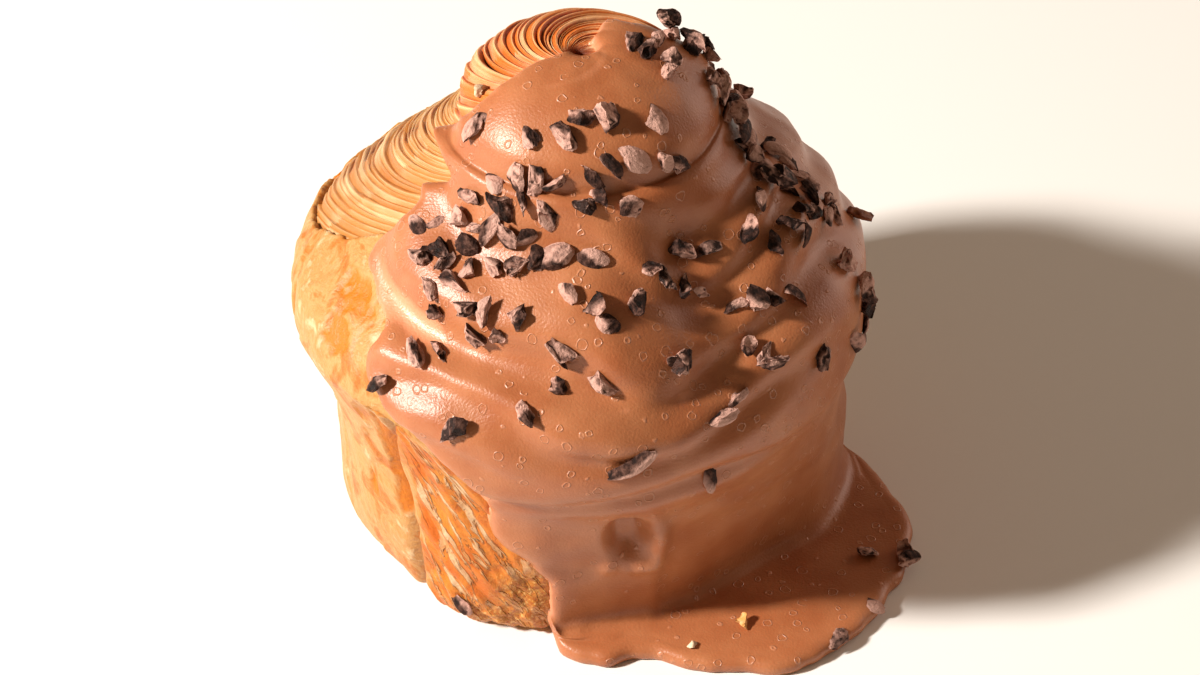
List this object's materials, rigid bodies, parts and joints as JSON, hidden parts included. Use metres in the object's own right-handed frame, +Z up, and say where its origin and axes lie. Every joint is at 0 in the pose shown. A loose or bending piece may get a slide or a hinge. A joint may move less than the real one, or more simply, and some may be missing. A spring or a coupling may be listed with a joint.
{
  "type": "chocolate bun",
  "caption": "Tall coiled laminated bun with a round knob on top, milk chocolate sauce run down one side into a pool at the foot, and cocoa nibs stuck in the sauce.",
  "frame": {"origin": "middle of the bun's flat base, on the surface it stands on", "axes": "+Z up the bun's axis, -Y the front that the picture looks at, +X to the right, where the pool spreads"},
  "size_m": [0.0879, 0.0798, 0.0816],
  "materials": {
    "crust": "baked golden, flaky, satin where the outer sheet is smooth",
    "chocolate": "glossy milk chocolate sauce, set but soft",
    "cocoa_nibs": "dry broken cocoa nibs, dusty on the broken faces"
  },
  "bodies": {
    "root": {"pastry": "crust", "chocolate_sauce": "chocolate"}
  },
  "joints": []
}
